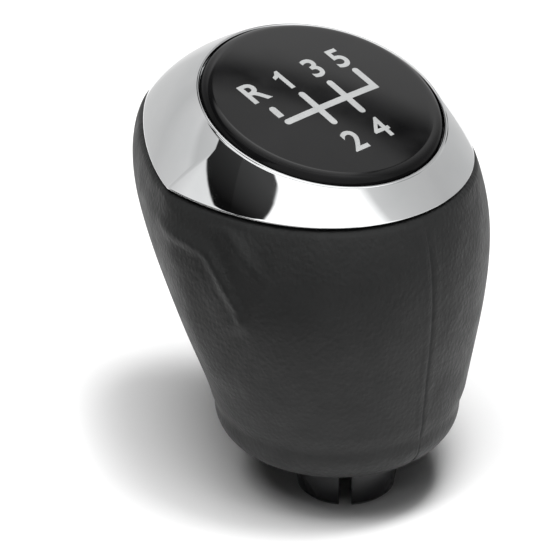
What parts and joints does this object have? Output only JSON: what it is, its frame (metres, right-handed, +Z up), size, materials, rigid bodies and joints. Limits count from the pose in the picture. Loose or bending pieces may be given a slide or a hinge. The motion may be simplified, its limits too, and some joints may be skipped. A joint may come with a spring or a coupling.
{
  "type": "gear shift knob",
  "caption": "Teardrop gear shift knob with a sewn leather cover, a plated ring, a domed shift pattern cap and a slotted sleeve that pushes onto the lever.",
  "frame": {"origin": "centre of the lever bore's mouth, at the lower end of the sleeve", "axes": "+Z up along the lever bore, +Y towards the front of the car and the knob's nose, +X to the right"},
  "size_m": [0.0568, 0.0643, 0.0724],
  "materials": {
    "cap_gloss_black": "high gloss",
    "ring_chrome": "bright plated",
    "carrier_black": "moulded",
    "screw_steel": "zinc plated",
    "cover_leather": "fine grain",
    "core_plastic": "moulded",
    "sleeve_black": "satin gloss",
    "pad_rubber": "matte"
  },
  "bodies": {
    "root": {"shift_pattern_cap": "cap_gloss_black", "chrome_ring": "ring_chrome", "top_carrier": "carrier_black", "carrier_screws": "screw_steel", "leather_cover": "cover_leather", "knob_core": "core_plastic", "lever_sleeve": "sleeve_black", "lever_pad": "pad_rubber"}
  },
  "joints": []
}
